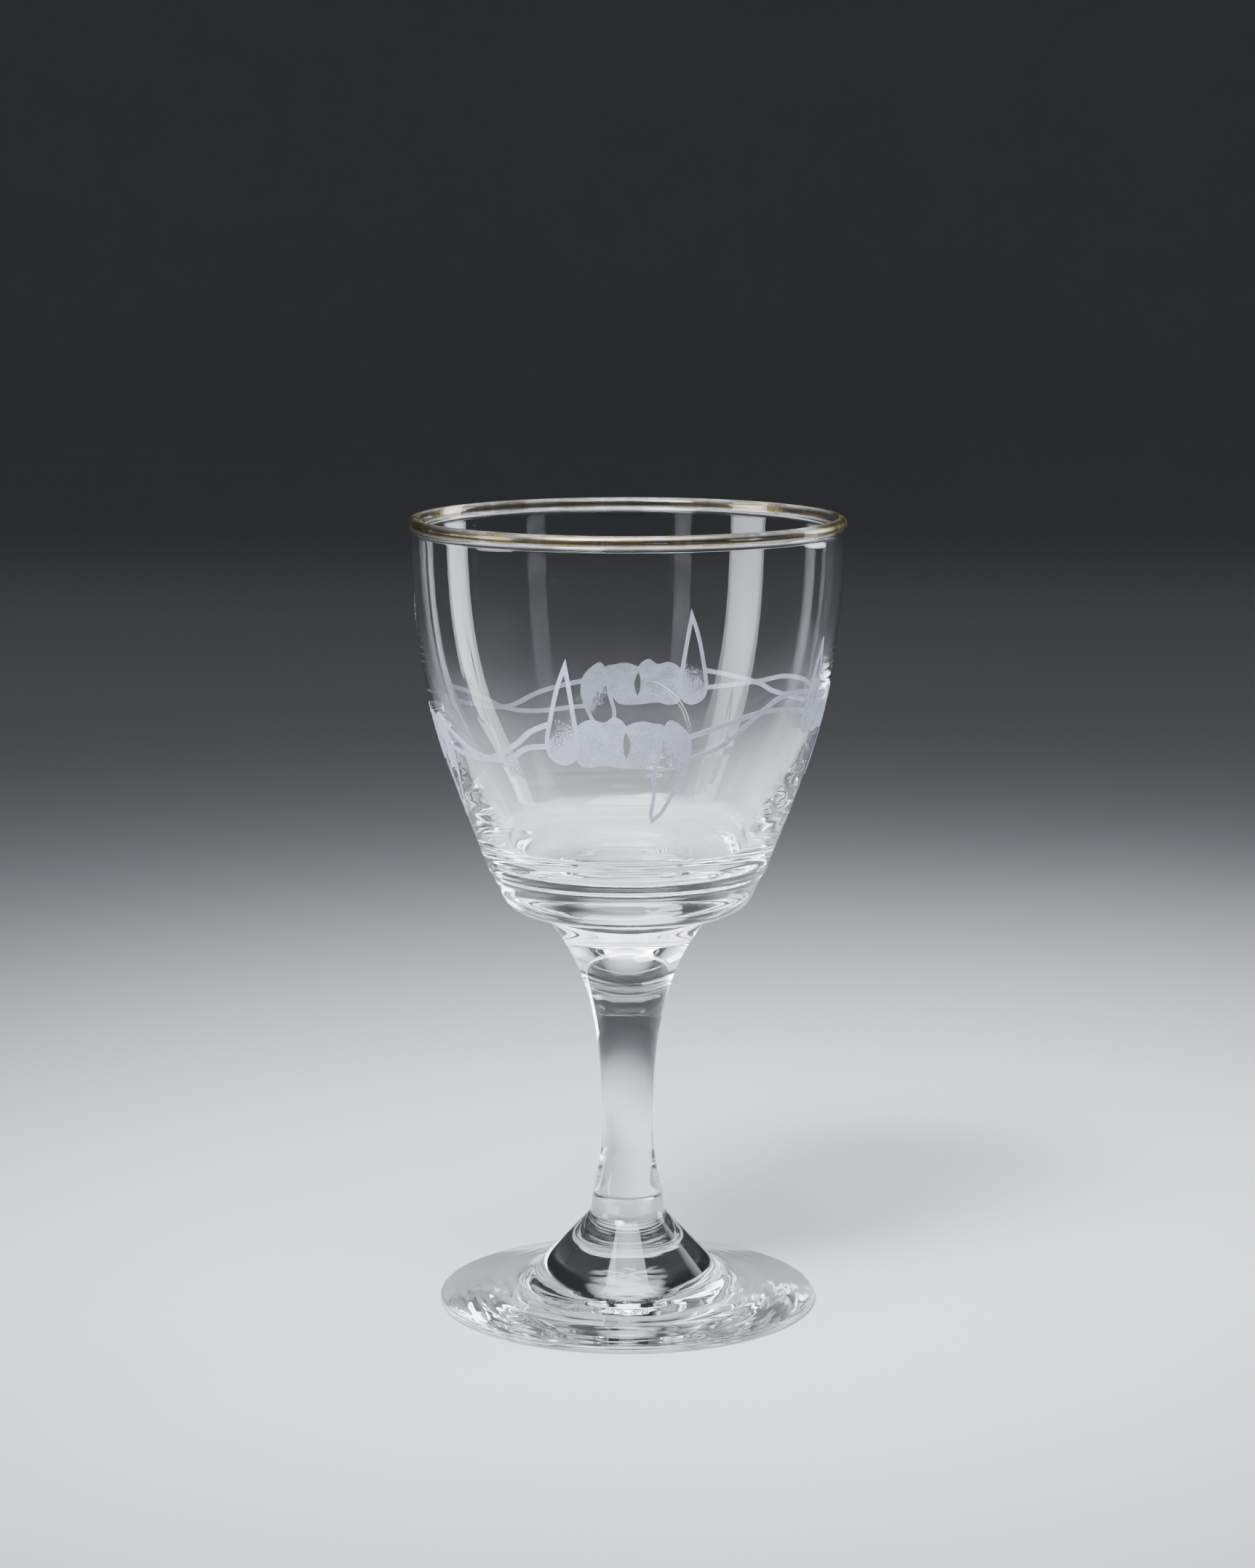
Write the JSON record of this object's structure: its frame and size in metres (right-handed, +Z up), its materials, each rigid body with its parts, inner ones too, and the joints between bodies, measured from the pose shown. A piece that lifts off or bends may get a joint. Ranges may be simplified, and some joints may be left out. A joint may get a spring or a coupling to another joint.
{
  "type": "wine glass",
  "caption": "Stemmed wine glass with a thick-based bowl, a flared stem, a domed foot, a worn gilt line on the lip and a frosted band of petals and crossing waves round the bowl.",
  "frame": {"origin": "centre of the foot's underside, in the plane the glass stands on", "axes": "+Z up along the glass's axis, -Y towards the first motif of the frosted band"},
  "size_m": [0.068, 0.068, 0.1255],
  "materials": {
    "clear_glass": "polished, clear, very faintly grey-green",
    "gilt": "thin fired gold film, worn, olive gold",
    "frost": "satin white frost, slightly mottled"
  },
  "bodies": {
    "root": {"bowl": "clear_glass", "stem": "clear_glass", "foot": "clear_glass", "gilt_line": "gilt", "petal_up_1": "frost", "petal_up_2": "frost", "petal_up_3": "frost", "petal_up_4": "frost", "petal_down_1": "frost", "petal_down_2": "frost", "petal_down_3": "frost", "petal_down_4": "frost", "lobes_1": "frost", "lobes_2": "frost", "lobes_3": "frost", "lobes_4": "frost", "wave_1": "frost", "wave_2": "frost", "wave_3": "frost", "wave_4": "frost"}
  },
  "joints": []
}
